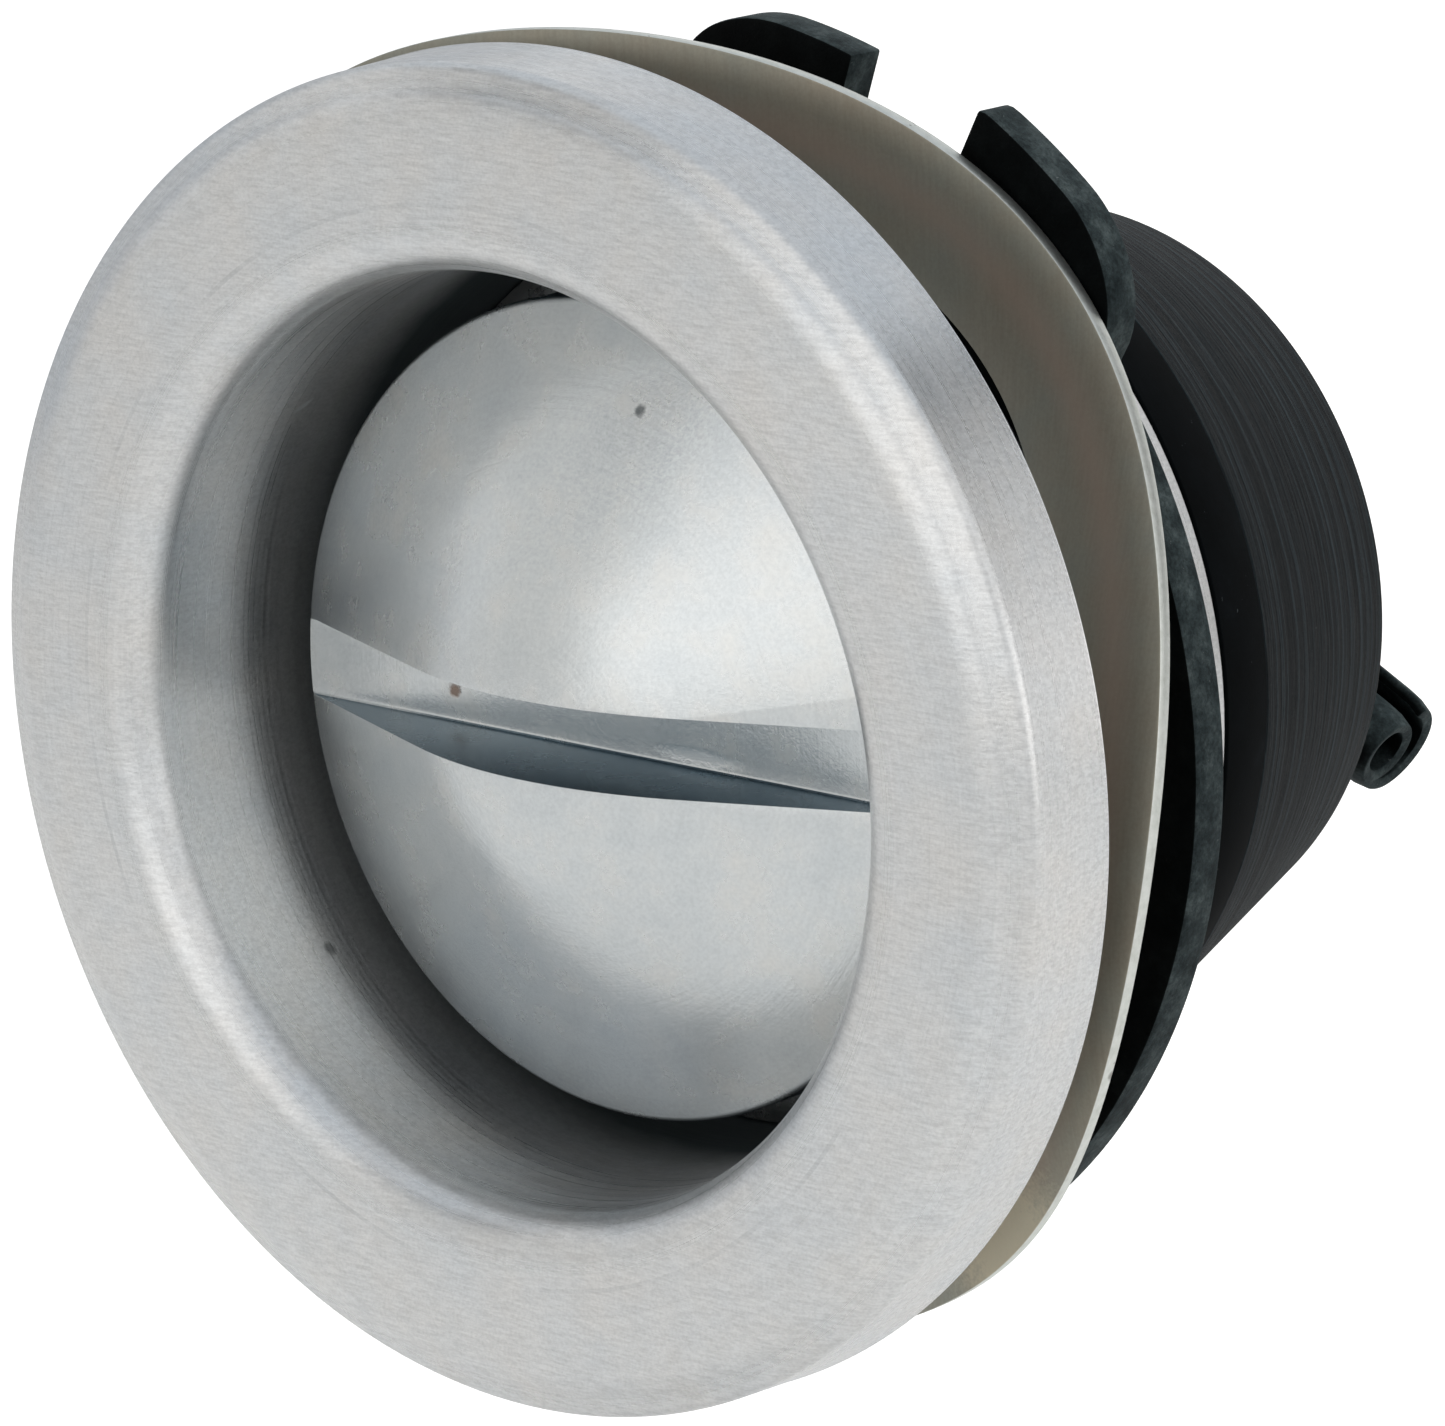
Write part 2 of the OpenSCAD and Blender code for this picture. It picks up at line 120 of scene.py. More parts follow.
# ----------------------------------------------------------------------
# Bezel: turned from aluminium bar, with a flange, a deep pocket with a rounded lip, and the
# sleeve that goes through the lid. The retaining ring sits in a groove of the sleeve.
flange_lo, flange_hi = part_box("bezel")
flange_r = flange_hi.x / mm
face_y = flange_lo.y / mm
sleeve_end = flange_hi.y / mm
pocket_r, sleeve_r, groove_r = 14.5, 16.1, 15.3
ring_lo, ring_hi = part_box("retaining_ring")
groove_play = 0.01
groove_from, groove_to = ring_lo.y / mm - groove_play, ring_hi.y / mm + groove_play
lip_rounding, small_edge, groove_edge = 1.5, 0.12, 0.06
# the shoulder from the face to the wall, with a faint tool step: (radius, depth behind the face)
shoulder = [
    (19.05, 0.0), (19.24, 0.012), (19.43, 0.045), (19.62, 0.098), (19.80, 0.17), (19.93, 0.235),
    (19.97, 0.265), (20.10, 0.34), (20.26, 0.425), (20.42, 0.495), (20.54, 0.545),
    (20.66, 0.60), (20.76, 0.69), (20.82, 0.79), (20.85, 0.90),
]
# the wall widens a little to its rear edge
wall_rear_r, wall_rear_y = flange_r - 0.02, -0.06
# the faint ring that the tool left round the lip where it was lifted
lift_ring_r, lift_ring_half = 16.66, 0.07


def put_down():
    """Deselects everything, so that an operator acts on the new piece alone."""
    if bpy.context.object is not None and bpy.context.object.mode != "OBJECT":
        bpy.ops.object.mode_set(mode="OBJECT")
    bpy.ops.object.select_all(action="DESELECT")


def take_up(piece):
    """Makes the piece the only one that is selected, and the active one."""
    put_down()
    piece.select_set(True)
    bpy.context.view_layer.objects.active = piece


def pick_edges(piece, wanted):
    """In edit mode, selects the edges that the test accepts by the places of their ends."""
    bpy.ops.mesh.select_mode(type="EDGE")
    bpy.ops.mesh.select_all(action="DESELECT")
    shape = bmesh.from_edit_mesh(piece.data)
    for edge in shape.edges:
        edge.select_set(wanted(edge.verts[0].co, edge.verts[1].co))
    bmesh.update_edit_mesh(piece.data)


def at_corner(radius, depth, reach=0.004):
    """A test for the edges of the circle of that radius and depth, in mm, about the axis."""

    def on_it(a, b):
        return all(
            abs(hypot(v.x, v.z) / mm - radius) < reach and abs(v.y / mm - depth) < reach
            for v in (a, b)
        )

    return on_it


def turn_on_lathe(name, section, steps, roundings):
    """Spins a half section, corners (radius, depth) in mm, about Y and rounds the edges named
    in roundings: (radius, depth, size, segments)."""
    put_down()
    bpy.ops.mesh.primitive_plane_add(size=0.01)
    piece = bpy.context.object
    piece.name = piece.data.name = name
    bpy.ops.object.mode_set(mode="EDIT")
    bpy.ops.mesh.select_mode(type="VERT")
    bpy.ops.mesh.merge(type="CENTER")
    corners = [Vector((r * mm, y * mm, 0)) for r, y in section]
    if section[0][0] > 0:
        corners.append(corners[0])
    bpy.ops.transform.translate(value=corners[0])
    for here, there in zip(corners, corners[1:]):
        bpy.ops.mesh.extrude_region_move(TRANSFORM_OT_translate={"value": there - here})
    bpy.ops.mesh.select_all(action="SELECT")
    bpy.ops.mesh.spin(steps=steps, angle=2 * pi, center=(0, 0, 0), axis=(0, 1, 0))
    bpy.ops.mesh.select_all(action="SELECT")
    bpy.ops.mesh.remove_doubles(threshold=2e-6)
    bpy.ops.mesh.normals_make_consistent(inside=False)
    for radius, depth, size, segments in roundings:
        pick_edges(piece, at_corner(radius, depth))
        bpy.ops.mesh.bevel(
            offset=size * mm, segments=segments, affect="EDGES", clamp_overlap=False
        )
    bpy.ops.object.mode_set(mode="OBJECT")
    return piece


def smooth(piece, degrees=28):
    """Shades the piece smooth across edges that turn by less than that."""
    take_up(piece)
    bpy.ops.object.shade_smooth_by_angle(angle=radians(degrees))


bezel = turn_on_lathe(
    "bezel_turned",
    [(pocket_r, face_y)]
    + [(r, face_y + back) for r, back in shoulder]
    + [
        (wall_rear_r, wall_rear_y), (flange_r, 0), (sleeve_r, 0), (sleeve_r, groove_from),
        (groove_r, groove_from), (groove_r, groove_to), (sleeve_r, groove_to),
        (sleeve_r, sleeve_end), (pocket_r, sleeve_end),
    ],
    steps=320,
    roundings=[
        (pocket_r, face_y, lip_rounding, 14), (sleeve_r, sleeve_end, small_edge, 2),
        (pocket_r, sleeve_end, small_edge, 2), (sleeve_r, groove_from, groove_edge, 1),
        (sleeve_r, groove_to, groove_edge, 1),
    ],
)
smooth(bezel)


def plain(colour):
    """Turns an sRGB hex colour to the linear one that the shaders take."""
    parts = [int(colour[i : i + 2], 16) / 255 for i in (1, 3, 5)]
    return [p / 12.92 if p <= 0.04045 else ((p + 0.055) / 1.055) ** 2.4 for p in parts] + [1.0]


def put(tree, kind, *values, out=None, stops=(), **named):
    """Adds a shader node. Values go to its sockets in order and capitalised names to those
    sockets, as numbers or as links; other names are its settings, and stops fill a colour ramp."""
    made = tree.nodes.new("ShaderNode" + kind)
    for key, value in named.items():
        if key[0].islower():
            setattr(made, key, value)
    while len(stops) > 2 and len(made.color_ramp.elements) < len(stops):
        made.color_ramp.elements.new(0.5)
    for element, (where, shade) in zip(made.color_ramp.elements if stops else (), stops):
        element.position = where
        element.color = plain(shade) if isinstance(shade, str) else (shade, shade, shade, 1)
    sockets = list(zip([s for s in made.inputs if s.enabled], values))
    sockets += [(made.inputs[k.replace("_", " ")], v) for k, v in named.items() if k[0].isupper()]
    for socket, value in sockets:
        if isinstance(value, bpy.types.NodeSocket):
            tree.links.new(value, socket)
        else:
            socket.default_value = value
    given = [s for s in made.outputs if s.enabled]
    return made.outputs[out] if out else given[0] if given else None


def blank_finish(name):
    """A new material without nodes, and its node tree."""
    made = bpy.data.materials.new(name)
    made.use_nodes = True
    made.node_tree.nodes.clear()
    return made, made.node_tree


def in_mm(tree):
    """The place on the piece, in mm."""
    return put(tree, "VectorMath", put(tree, "TexCoord", out="Object"), 1000.0, operation="SCALE")


def on_lathe(tree, place):
    """Distance from the axis of turn and depth along it, in mm."""
    across = put(tree, "VectorMath", place, (1, 0, 1), operation="MULTIPLY")
    radius = put(tree, "VectorMath", across, operation="LENGTH")
    return radius, put(tree, "SeparateXYZ", place, out="Y")


def mark(tree, place, spot, size, long=None):
    """1 in the middle of a mark, with a ragged edge where it falls to 0, its size in mm;
    a long mark is stretched along the direction given."""
    away = put(tree, "VectorMath", place, tuple(spot / mm), operation="SUBTRACT")
    if long is not None:
        # only 14% of the distance along the mark counts
        ahead = put(tree, "VectorMath", away, tuple(long), operation="DOT_PRODUCT", out="Value")
        ahead = put(tree, "Math", ahead, 0.86, operation="MULTIPLY")
        taken = put(tree, "VectorMath", tuple(long), Scale=ahead, operation="SCALE")
        away = put(tree, "VectorMath", away, taken, operation="SUBTRACT")
    away = put(tree, "VectorMath", away, operation="LENGTH")
    ragged = put(tree, "TexNoise", Vector=place, Scale=4.5, Detail=3.0, Roughness=0.8)
    away = put(tree, "Math", away, size, operation="DIVIDE")
    away = put(tree, "Math", ragged, -0.9, away, operation="MULTIPLY_ADD")
    return put(tree, "ValToRGB", away, stops=[(0.0, 1.0), (0.5, 0.0)])


def darkened(tree, colour, amount, pattern, low, high):
    """The colour darkened by that amount where a pattern is low, by two (pattern, grey) stops."""
    shade = put(tree, "ValToRGB", pattern, stops=[low, high])
    return put(tree, "Mix", amount, colour, shade, data_type="RGBA", blend_type="MULTIPLY")


def covered(tree, colour, share, tone):
    """The colour with the tone over it where the share is 1."""
    return put(tree, "Mix", share, colour, plain(tone), data_type="RGBA")


def share_of(tree, pattern, amount):
    """The pattern times an amount or another pattern."""
    return put(tree, "Math", pattern, amount, operation="MULTIPLY")


def coated(made, tree, colour, relief, **values):
    """Ends a finish with its shader's values and a relief: (pattern, strength, depth in mm)."""
    height, strength, deep = relief
    bump = put(tree, "Bump", Height=height, Strength=strength, Distance=deep * mm)
    shader = put(tree, "BsdfPrincipled", Base_Color=colour, Normal=bump, **values)
    put(tree, "OutputMaterial", shader)
    return made


def give(piece, *materials):
    """Makes these the piece's only materials."""
    piece.data.materials.clear()
    for material in materials:
        piece.data.materials.append(material)


def turned_aluminium(marks):
    """Aluminium turned on a lathe and rubbed with fine emery: faint rings about the axis from the
    tool, a fine diagonal grain from the emery, and a soft satin gloss drawn out across the rings.
    Deep in the pocket it is painted darker, as painted shade, and made rougher."""
    made, tree = blank_finish("turned_satin_aluminium")
    place = in_mm(tree)
    radius, depth = on_lathe(tree, place)
    rings_at = put(tree, "CombineXYZ", radius, depth)
    # tool rings 0.15 mm wide and finer
    rings = put(tree, "TexNoise", Vector=rings_at, Scale=6.5, Detail=4.0, Roughness=0.75)
    cloud = put(tree, "TexNoise", Vector=place, Scale=0.3, Detail=4.0, Roughness=0.6)
    # emery grain, 0.1 mm wide and 1 mm long, slanting across the face
    slanted = put(tree, "Mapping", Vector=place, Rotation=(0, 0.7, 0), Scale=(1.1, 4.0, 9.0))
    grain = put(tree, "TexNoise", Vector=slanted, Scale=1.0, Detail=3.0, Roughness=0.7)
    fine = put(tree, "TexNoise", Vector=place, Scale=9.0, Detail=2.0, Roughness=0.6)
    colour = put(
        tree, "ValToRGB", cloud, stops=[(0.3, "#dbdee0"), (0.5, "#dfe0e0"), (0.7, "#e1e0de")]
    )
    colour = darkened(tree, colour, 0.17, rings, (0.3, 0.45), (0.7, 1.0))
    colour = darkened(tree, colour, 0.2, grain, (0.36, 0.3), (0.6, 1.0))
    colour = darkened(tree, colour, 0.14, fine, (0.36, 0.35), (0.6, 1.0))
    # the ring where the tool was lifted is broken up by the emery
    on_face = put(tree, "Math", depth, face_y + 0.02, operation="LESS_THAN")
    on_ring = put(tree, "Math", radius, lift_ring_r, lift_ring_half, operation="COMPARE")
    broken = put(tree, "TexNoise", Vector=place, Scale=0.22, Detail=5.0)
    broken = put(tree, "ValToRGB", broken, stops=[(0.42, 0.0), (0.66, 1.0)])
    line = share_of(tree, on_face, share_of(tree, on_ring, broken))
    colour = covered(tree, colour, share_of(tree, line, 0.22), "#83898d")
    # painted shade: darker, and rougher, deeper in the pocket
    inside = put(tree, "Math", radius, pocket_r + 0.1, operation="LESS_THAN")
    deep = put(tree, "Math", cloud, 1.6, depth, operation="MULTIPLY_ADD")
    deep = put(tree, "MapRange", deep, 2.2, 6.0, 0.0, 1.0)
    deep_shade_and_dull = share_of(tree, inside, deep)
    colour = covered(tree, colour, deep_shade_and_dull, "#4d5658")
    rough = put(tree, "MapRange", rings, 0.3, 0.7, 0.25, 0.33)
    rough = put(tree, "Math", deep_shade_and_dull, 0.3, rough, operation="MULTIPLY_ADD")
    height = put(tree, "Math", grain, fine, operation="ADD")
    height = put(tree, "Math", rings, 0.6, height, operation="MULTIPLY_ADD")
    height = put(tree, "Math", line, -0.4, height, operation="MULTIPLY_ADD")
    for spot, size, long, tone, strength in marks:
        here = mark(tree, place, spot, size, long)
        colour = covered(tree, colour, share_of(tree, here, strength), tone)
        height = put(tree, "Math", here, -1.0, height, operation="MULTIPLY_ADD")
    round_axis = put(tree, "Tangent", direction_type="RADIAL", axis="Y")
    return coated(
        made, tree, colour, (height, 0.22, 0.03), Metallic=1.0, Roughness=rough,
        Anisotropic=0.75, Anisotropic_Rotation=0.25, Tangent=round_axis,
    )


# where, size in mm, direction of a long mark, colour and strength
scratch_along = Vector((0.1, 0.75, 0.65)).normalized()
bezel_marks = [
    (seen_through("bore_scratch", bezel), 0.16, scratch_along, "#e9ecec", 0.8),
    (seen_through("bore_nick", bezel), 0.3, None, "#4c4f50", 0.6),
]
give(bezel, turned_aluminium(bezel_marks))
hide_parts("bezel")
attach(bezel, "housing")

# ----------------------------------------------------------------------
# Plug: turned aluminium with a domed head and a milled coin slot, pressed on the spindle.
# The dome is tumbled to a soft gloss, and coins have bruised the slot's edges.
plug_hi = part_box("plug")[1]
plug_r = plug_hi.x / mm
rim_y, head_back, boss_end = 2.47, 5.0, plug_hi.y / mm
boss_r, spindle_seat_r, spindle_front = 8.5, 5.01, 4.4
dome_slope, tip_r = radians(22.6), 14.0
slot_width, slot_floor, floor_rounding, brink_rounding = 2.5, 2.44, 0.12, 0.14
half_slot = slot_width / 2
cutter_long, cutter_deep = 40, 8
tip_edge = tip_r * sin(dome_slope)
cone_point = rim_y - plug_r * tan(dome_slope)
tip_centre = cone_point + tip_edge * tan(dome_slope) + tip_r * cos(dome_slope)
tip_steps = 12
tip_angles = [dome_slope * i / tip_steps for i in range(tip_steps + 1)]
dome = [(tip_r * sin(angle), tip_centre - tip_r * cos(angle)) for angle in tip_angles]
plug = turn_on_lathe(
    "plug_domed",
    dome
    + [
        (plug_r, rim_y), (plug_r, head_back), (boss_r, head_back), (boss_r, boss_end),
        (spindle_seat_r, boss_end), (spindle_seat_r, spindle_front), (0, spindle_front),
    ],
    steps=240,
    roundings=[(plug_r, rim_y, 0.22, 4), (plug_r, head_back, 0.15, 2)],
)

# the slot's cutter is a bar along X with slightly rounded lower edges
put_down()
bpy.ops.mesh.primitive_cube_add(size=1, location=(0, (slot_floor - cutter_deep / 2) * mm, 0))
cutter = bpy.context.object
bpy.ops.object.mode_set(mode="EDIT")
bpy.ops.transform.resize(value=(cutter_long * mm, cutter_deep * mm, slot_width * mm))
pick_edges(cutter, lambda a, b: a.y > -0.5 * mm and b.y > -0.5 * mm and abs(a.x - b.x) > mm)
bpy.ops.mesh.bevel(offset=floor_rounding * mm, segments=3, affect="EDGES")
bpy.ops.object.mode_set(mode="OBJECT")
bpy.ops.object.transform_apply(location=True, rotation=True, scale=True)


def cut_away(piece, tool):
    """Takes the tool's shape out of the piece, and the tool away."""
    take_up(piece)
    cut = piece.modifiers.new("cut", "BOOLEAN")
    cut.operation, cut.solver, cut.object = "DIFFERENCE", "EXACT", tool
    bpy.ops.object.modifier_apply(modifier=cut.name)
    bpy.data.objects.remove(tool)


def slot_brink(a, b):
    """A test for the edges where the slot's walls meet the dome."""

    def on_it(v):
        dome_y = cone_point + hypot(v.x, v.z) / mm * tan(dome_slope)
        on_wall = abs(abs(v.z) - half_slot * mm) < 2e-6 and v.y < (slot_floor - 0.05) * mm
        return on_wall and abs(v.y / mm - dome_y) < 0.6

    upright = abs(abs(a.y - b.y) - (a - b).length) <= 1e-6
    return on_it(a) and on_it(b) and not upright


cut_away(plug, cutter)
take_up(plug)
bpy.ops.object.mode_set(mode="EDIT")
pick_edges(plug, slot_brink)
bpy.ops.mesh.bevel(offset=brink_rounding * mm, segments=3, affect="EDGES", clamp_overlap=True)
bpy.ops.object.mode_set(mode="OBJECT")
smooth(plug)


def tumbled_aluminium(marks):
    """Aluminium turned, then tumbled in fine media: a soft bright gloss with a fine even grain,
    faint rings left from the lathe, and a few small bruises and pits that read darker."""
    made, tree = blank_finish("tumbled_bright_aluminium")
    place = in_mm(tree)
    radius, depth = on_lathe(tree, place)
    rings_at = put(tree, "CombineXYZ", radius, depth)
    rings = put(tree, "TexNoise", Vector=rings_at, Scale=7.0, Detail=4.0, Roughness=0.65)
    # the media's grain is 0.1 mm; its slow changes are 2 mm across
    grain = put(tree, "TexNoise", Vector=place, Scale=8.0, Detail=3.0, Roughness=0.65)
    cloud = put(tree, "TexNoise", Vector=place, Scale=0.5, Detail=5.0, Roughness=0.6)
    colour = put(
        tree, "ValToRGB", cloud, stops=[(0.3, "#cdd2d4"), (0.5, "#d4d8d9"), (0.7, "#dadbd9")]
    )
    colour = darkened(tree, colour, 0.08, rings, (0.3, 0.45), (0.7, 1.0))
    colour = darkened(tree, colour, 0.13, grain, (0.35, 0.4), (0.62, 1.0))
    # faces that look sideways along Z, such as the slot's walls, are coloured blue-grey
    wall = put(tree, "SeparateXYZ", put(tree, "NewGeometry", out="Normal"), out="Z")
    wall = put(tree, "Math", wall, operation="ABSOLUTE")
    wall = put(tree, "ValToRGB", wall, stops=[(0.8, 0.0), (0.9, 1.0)])
    colour = covered(tree, colour, wall, "#7f909a")
    pits = put(tree, "TexNoise", Vector=place, Scale=2.2, Detail=3.0, Roughness=0.8)
    pits = put(tree, "ValToRGB", pits, stops=[(0.24, 0.3), (0.27, 0.0)])
    colour = covered(tree, colour, pits, "#6b7578")
    height = put(tree, "Math", grain, 0.5, share_of(tree, rings, 0.4), operation="MULTIPLY_ADD")
    for spot, size, long, tone, strength in marks:
        here = mark(tree, place, spot, size, long)
        colour = covered(tree, colour, share_of(tree, here, strength), tone)
        height = put(tree, "Math", here, -0.8, height, operation="MULTIPLY_ADD")
    rough = put(tree, "MapRange", cloud, 0.3, 0.7, 0.24, 0.29)
    return coated(made, tree, colour, (height, 0.3, 0.04), Metallic=1.0, Roughness=rough)


plug_marks = [
    (seen_through("rust_speck", plug), 0.32, None, "#6d4f38", 0.8),
    (seen_through("dome_nick", plug), 0.26, None, "#3f474a", 0.75),
    (seen_through("slot_burr", plug), 0.3, Vector((1, 0, 0)), "#f2f4f4", 0.7),
]
give(plug, tumbled_aluminium(plug_marks))
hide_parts("plug")
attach(plug, "rotor")

# ----------------------------------------------------------------------
# Wave washer: blanked from bright nickel-plated spring strip and pressed to three waves.
# It hangs loose on the sleeve, leaning between the flange and the retaining ring.
washer_r, washer_bore, washer_thick = flange_r - 0.1, sleeve_r + 0.6, 0.5
wave_half, wave_count, wave_angle, wave_lean, wave_lift = 2.15, 3, radians(48), radians(2.8), 0.35
ring_gap, sheared_edge, sheen_band_r, sheen_band_half = 0.05, 0.07, 19.3, 0.9
bend_circles = (17.7, 18.8, 19.9, washer_r)
wave_middle = ring_lo.y / mm - ring_gap - washer_thick - wave_half
wave_middle -= washer_r * tan(wave_lean) * cos(wave_angle)
put_down()
bpy.ops.mesh.primitive_circle_add(vertices=288, radius=washer_bore * mm, rotation=(pi / 2, 0, 0))
washer = bpy.context.object
washer.name = washer.data.name = "wave_washer_pressed"
bpy.ops.object.transform_apply(location=True, rotation=True, scale=True)
bpy.ops.object.mode_set(mode="EDIT")
bpy.ops.mesh.select_all(action="SELECT")
reached = washer_bore
for further in bend_circles:
    wider = further / reached
    bpy.ops.mesh.extrude_region()
    bpy.ops.transform.resize(value=(wider, 1, wider), center_override=(0, 0, 0))
    reached = further
bpy.ops.mesh.select_all(action="SELECT")
bpy.ops.mesh.extrude_region_move(TRANSFORM_OT_translate={"value": (0, washer_thick * mm, 0)})
bpy.ops.mesh.select_all(action="SELECT")
bpy.ops.mesh.normals_make_consistent(inside=False)
for circle in (washer_bore, washer_r):
    for side in (0, washer_thick):
        pick_edges(washer, at_corner(circle, side))
        bpy.ops.mesh.bevel(offset=sheared_edge * mm, segments=2, affect="EDGES")
bpy.ops.object.mode_set(mode="OBJECT")
for vertex in washer.data.vertices:
    # the press puts each point on the wave; the washer then leans and hangs a little high
    angle, out = atan2(vertex.co.z, vertex.co.x), hypot(vertex.co.x, vertex.co.z)
    wave = wave_half * cos(wave_count * (angle - wave_angle)) * mm
    vertex.co.y += wave + out * tan(wave_lean) * cos(angle) + wave_middle * mm
    vertex.co.z += wave_lift * mm
smooth(washer)


def nickel_strip(stain_spot):
    """Rolled spring strip with a thin nickel plate: a warm brown-grey mirror, blurred along the
    rolling direction, with a fine grain, small specks, and a light tan stain from handling."""
    made, tree = blank_finish("rolled_nickel_strip")
    place = in_mm(tree)
    # the rolling grain is 0.1 mm wide and runs up and down
    drawn = put(tree, "Mapping", Vector=place, Scale=(9, 0.8, 0.7))
    rolled = put(tree, "TexNoise", Vector=drawn, Scale=1.0, Detail=3.0)
    cloud = put(tree, "TexNoise", Vector=place, Scale=0.22, Detail=4.0, Roughness=0.6)
    fine = put(tree, "TexNoise", Vector=place, Scale=9.0, Detail=2.0)
    colour = put(
        tree, "ValToRGB", cloud, stops=[(0.3, "#a59c8c"), (0.5, "#a4a092"), (0.7, "#9fa197")]
    )
    colour = darkened(tree, colour, 0.12, rolled, (0.35, 0.4), (0.65, 1.0))
    colour = darkened(tree, colour, 0.12, fine, (0.35, 0.4), (0.62, 1.0))
    # painted reflection: a faint pinkish-brown band at one radius, 1.6 mm inside the outer edge
    radius, _ = on_lathe(tree, place)
    sheen_band = put(tree, "Math", radius, sheen_band_r, operation="SUBTRACT")
    sheen_band = put(tree, "Math", sheen_band, operation="ABSOLUTE")
    sheen_band = put(tree, "ValToRGB", sheen_band, stops=[(0.1, 0.45), (sheen_band_half, 0.0)])
    colour = covered(tree, colour, sheen_band, "#b9a192")
    stain = mark(tree, place, stain_spot, 4.0)
    colour = covered(tree, colour, share_of(tree, stain, 0.7), "#d9d0b8")
    rough = put(tree, "MapRange", cloud, 0.3, 0.7, 0.46, 0.54)
    rough = put(tree, "Math", stain, 0.15, rough, operation="MULTIPLY_ADD")
    return coated(made, tree, colour, (rolled, 0.12, 0.03), Metallic=0.6, Roughness=rough)


def sheared_nickel(nick_spot):
    """The strip's cut edge, bare bright metal: torn by the shear, soft and pale."""
    made, tree = blank_finish("sheared_strip_edge")
    place = in_mm(tree)
    torn = put(tree, "TexNoise", Vector=place, Scale=3.0, Detail=4.0, Roughness=0.7)
    colour = put(
        tree, "ValToRGB", torn, stops=[(0.3, "#c3c6c0"), (0.5, "#cfd2cd"), (0.7, "#d8dad6")]
    )
    nicks = put(tree, "TexNoise", Vector=place, Scale=1.4, Detail=3.0, Roughness=0.8)
    nicks = put(tree, "ValToRGB", nicks, stops=[(0.27, 1.0), (0.3, 0.0)])
    nicks = put(tree, "Math", nicks, mark(tree, place, nick_spot, 0.28), operation="MAXIMUM")
    colour = covered(tree, colour, share_of(tree, nicks, 0.7), "#6b6a62")
    return coated(made, tree, colour, (torn, 0.2, 0.05), Metallic=1.0, Roughness=0.42)


give(
    washer,
    nickel_strip(seen_through("tan_patch", washer)),
    sheared_nickel(seen_through("edge_nick", washer)),
)
for face in washer.data.polygons:
    # the faces of the cut edge look outwards or inwards
    if abs(face.normal.y) < 0.55:
        face.material_index = 1
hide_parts("wave_washer")
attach(washer, "housing")

# ----------------------------------------------------------------------
# Retaining ring: stamped from spring-steel plate and blackened, open between two lugs with a
# hole each for ring pliers. It snaps into the sleeve's groove and holds the washer.
# A lug rises from the ring in one rounded sweep; angles are in degrees from +X.
ring_inner, ring_body, ring_middle, ring_edge = 15.31, 19.43, (ring_lo.y + ring_hi.y) / 2, 0.1
near_end, near_foot, near_sweep, near_rise, near_bow = 57.9, 37.3, 12.0, 3.1, 1.85
near_lean, lean_over, near_clip, clip_over = 1.2, 4, 0.12, 0.8
far_end, far_foot, far_sweep, far_rise, far_bow = 71.7, 90.0, 10.5, 2.1, 1.9
hole_r, hole_at, hole_angles = 0.9, 18.27, (53.45, 77.95)


def round_edges(piece, size, segments=2):
    """Rounds every sharp edge of the piece by the size given in mm."""
    take_up(piece)
    rounding = piece.modifiers.new("rounding", "BEVEL")
    rounding.width, rounding.segments = size * mm, segments
    rounding.limit_method, rounding.angle_limit = "ANGLE", radians(32)
    bpy.ops.object.modifier_apply(modifier=rounding.name)
    smooth(piece, 35)


def thicken(sheet, thickness):
    """Gives a sheet its thickness, half to each side, and turns its faces outwards."""
    take_up(sheet)
    strip = sheet.modifiers.new("strip", "SOLIDIFY")
    strip.thickness, strip.offset = thickness, 0
    bpy.ops.object.modifier_apply(modifier=strip.name)
    bpy.ops.object.mode_set(mode="EDIT")
    bpy.ops.mesh.select_all(action="SELECT")
    bpy.ops.mesh.normals_make_consistent(inside=False)
    bpy.ops.object.mode_set(mode="OBJECT")


def ease(value, low, high):
    """Goes smoothly from 0 at the low value to 1 at the high one."""
    share = min(max((value - low) / (high - low), 0), 1)
    return share * share * (3 - 2 * share)


def bowed(share, power):
    """Goes from 0 to 1 along a rounded rise, steep at its foot."""
    return (1 - (1 - min(max(share, 0), 1)) ** power) ** (1 / power)


put_down()
bpy.ops.mesh.primitive_grid_add(x_subdivisions=560, y_subdivisions=6, size=2)
ring = bpy.context.object
ring.name = ring.data.name = "retaining_ring_blackened"
for vertex in ring.data.vertices:
    # x runs round the ring from lug to lug, y from its inside to its outside
    angle = near_end - (vertex.co.x + 1) / 2 * (360 - far_end + near_end)
    outside = ring_body + near_rise * bowed((angle - near_foot) / near_sweep, near_bow)
    outside += far_rise * bowed((far_foot - 360 - angle) / far_sweep, far_bow)
    outside -= near_clip * ease(angle, near_end - clip_over, near_end)
    outward = (vertex.co.y + 1) / 2
    radius = ring_inner + outward * (outside - ring_inner)
    angle += near_lean * outward * ease(angle, near_end - lean_over, near_end)
    vertex.co = (radius * cos(radians(angle)) * mm, ring_middle, radius * sin(radians(angle)) * mm)
thicken(ring, ring_hi.y - ring_lo.y)
round_edges(ring, ring_edge)
for angle in hole_angles:
    across, up = hole_at * cos(radians(angle)) * mm, hole_at * sin(radians(angle)) * mm
    bpy.ops.mesh.primitive_cylinder_add(
        vertices=36, radius=hole_r * mm, depth=6 * mm,
        location=(across, ring_middle, up), rotation=(pi / 2, 0, 0),
    )
    cut_away(ring, bpy.context.object)
smooth(ring, 35)


